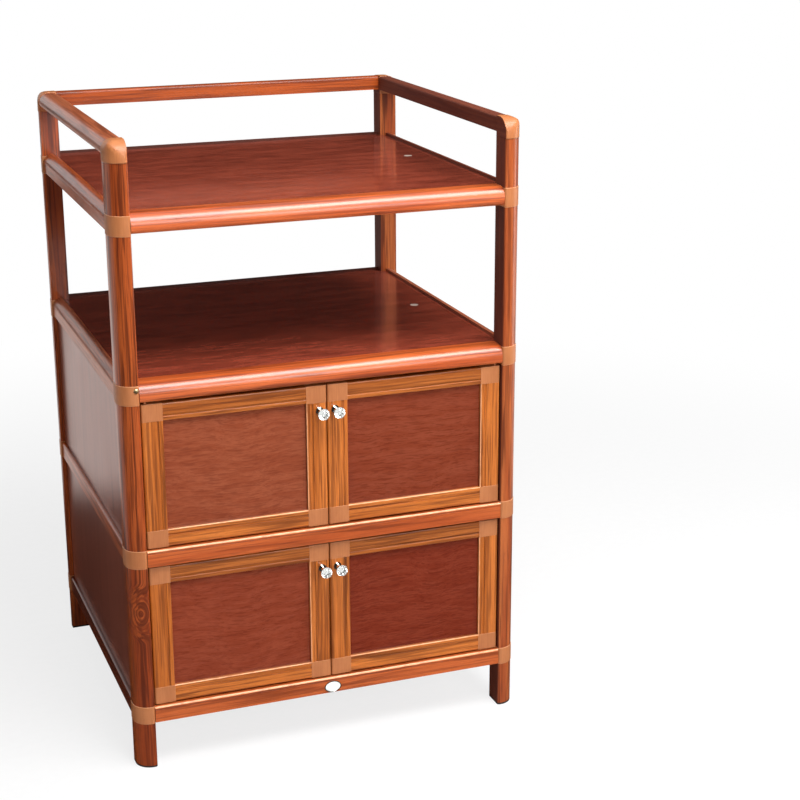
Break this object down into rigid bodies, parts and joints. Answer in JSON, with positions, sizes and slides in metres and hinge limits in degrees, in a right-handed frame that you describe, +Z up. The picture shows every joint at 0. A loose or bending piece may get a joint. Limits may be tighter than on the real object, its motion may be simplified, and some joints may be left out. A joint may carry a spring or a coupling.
{
  "type": "microwave cabinet",
  "caption": "Kitchen cabinet with a railed top shelf, an open tier for a microwave and double-door cupboards, made of wood-grained bars, moulded corner joints and panels.",
  "frame": {"origin": "on the floor, under the middle of the bounding box, knobs included", "axes": "+X to the right seen from the front, +Y to the rear, +Z up; the doors face -Y"},
  "size_m": [0.89, 0.861, 1.362],
  "materials": {
    "post_bar": "wood-grain film, satin",
    "rail_bar": "wood-grain film, satin",
    "door_bar": "wood-grain film, satin",
    "joint_plastic": "moulded, satin",
    "floor_panel": "tempered glass with a wood-grain print behind it",
    "door_panel": "tempered glass with a wood-grain print behind it",
    "wall_panel": "tempered glass with a wood-grain print behind it",
    "crystal": "clear, cut in facets",
    "plated_metal": "bright plating",
    "foot_cap": "moulded",
    "badge": "plain, glossy",
    "catch": "moulded"
  },
  "bodies": {
    "cabinet": {"back_panels": "wall_panel", "badge_plate": "badge", "base_corner_joints": "joint_plastic", "base_front_rail": "rail_bar", "base_panel": "floor_panel", "base_rear_rail": "rail_bar", "base_side_rails": "rail_bar", "countertop_corner_joints": "joint_plastic", "countertop_front_rail": "rail_bar", "countertop_panel": "floor_panel", "countertop_rear_rail": "rail_bar", "countertop_side_rails": "rail_bar", "door_catches": "catch", "foot_caps": "foot_cap", "front_left_post": "post_bar", "front_right_post": "post_bar", "guard_corner_joints": "joint_plastic", "guard_rear_rail": "rail_bar", "guard_side_rails": "rail_bar", "left_side_panels": "wall_panel", "middle_corner_joints": "joint_plastic", "middle_front_rail": "rail_bar", "middle_rear_rail": "rail_bar", "middle_shelf_panel": "floor_panel", "middle_side_rails": "rail_bar", "rear_left_post": "post_bar", "rear_right_post": "post_bar", "right_side_panels": "wall_panel", "upper_shelf_corner_joints": "joint_plastic", "upper_shelf_front_rail": "rail_bar", "upper_shelf_panel": "floor_panel", "upper_shelf_rear_rail": "rail_bar", "upper_shelf_side_rails": "rail_bar"},
    "upper_left_door": {"upper_left_door_corner_joints": "joint_plastic", "upper_left_door_knob_base_and_strike": "plated_metal", "upper_left_door_knob_crystal": "crystal", "upper_left_door_panel": "door_panel", "upper_left_door_rails": "door_bar", "upper_left_door_stiles": "door_bar"},
    "upper_right_door": {"upper_right_door_corner_joints": "joint_plastic", "upper_right_door_knob_base_and_strike": "plated_metal", "upper_right_door_knob_crystal": "crystal", "upper_right_door_panel": "door_panel", "upper_right_door_rails": "door_bar", "upper_right_door_stiles": "door_bar"},
    "lower_left_door": {"lower_left_door_corner_joints": "joint_plastic", "lower_left_door_knob_base_and_strike": "plated_metal", "lower_left_door_knob_crystal": "crystal", "lower_left_door_panel": "door_panel", "lower_left_door_rails": "door_bar", "lower_left_door_stiles": "door_bar"},
    "lower_right_door": {"lower_right_door_corner_joints": "joint_plastic", "lower_right_door_knob_base_and_strike": "plated_metal", "lower_right_door_knob_crystal": "crystal", "lower_right_door_panel": "door_panel", "lower_right_door_rails": "door_bar", "lower_right_door_stiles": "door_bar"}
  },
  "joints": [
    {"name": "upper_left_door_hinge", "type": "hinge", "parent": "cabinet", "child": "upper_left_door", "pos_m": [-0.3895, -0.3825, 0.664], "axis": [0, 0, -1], "range_deg": [0, 100]},
    {"name": "upper_right_door_hinge", "type": "hinge", "parent": "cabinet", "child": "upper_right_door", "pos_m": [0.3895, -0.3825, 0.664], "axis": [0, 0, 1], "range_deg": [0, 100]},
    {"name": "lower_left_door_hinge", "type": "hinge", "parent": "cabinet", "child": "lower_left_door", "pos_m": [-0.3895, -0.3825, 0.304], "axis": [0, 0, -1], "range_deg": [0, 100]},
    {"name": "lower_right_door_hinge", "type": "hinge", "parent": "cabinet", "child": "lower_right_door", "pos_m": [0.3895, -0.3825, 0.304], "axis": [0, 0, 1], "range_deg": [0, 100]}
  ]
}
